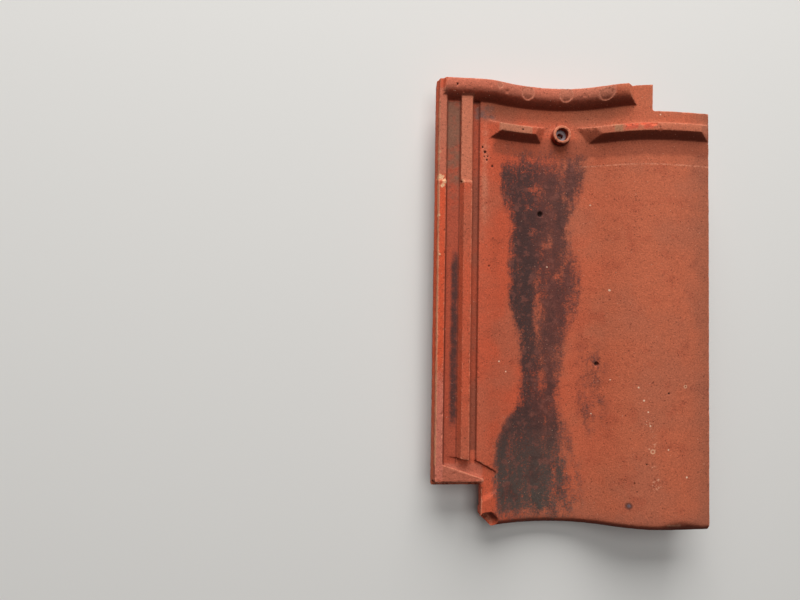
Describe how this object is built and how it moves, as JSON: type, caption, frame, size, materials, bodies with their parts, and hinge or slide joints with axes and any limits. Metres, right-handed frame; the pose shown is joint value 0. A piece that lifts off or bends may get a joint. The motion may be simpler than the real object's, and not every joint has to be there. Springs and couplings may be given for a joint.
{
  "type": "clay roof tile",
  "caption": "Interlocking clay roof tile with a waved face, gutters and a cover flange at its sides, a rolled head, a nail boss and nibs below.",
  "frame": {"origin": "centre of the tile's outline on the level floor that its nibs and its lower cross rib rest on", "axes": "+Z out of the weather face, +Y up the roof to the head, +X across the tile to its cover flange"},
  "size_m": [0.27, 0.434, 0.0607],
  "materials": {
    "clay": "matt fired clay, weathered"
  },
  "bodies": {
    "root": {"roof_tile": "clay"}
  },
  "joints": []
}
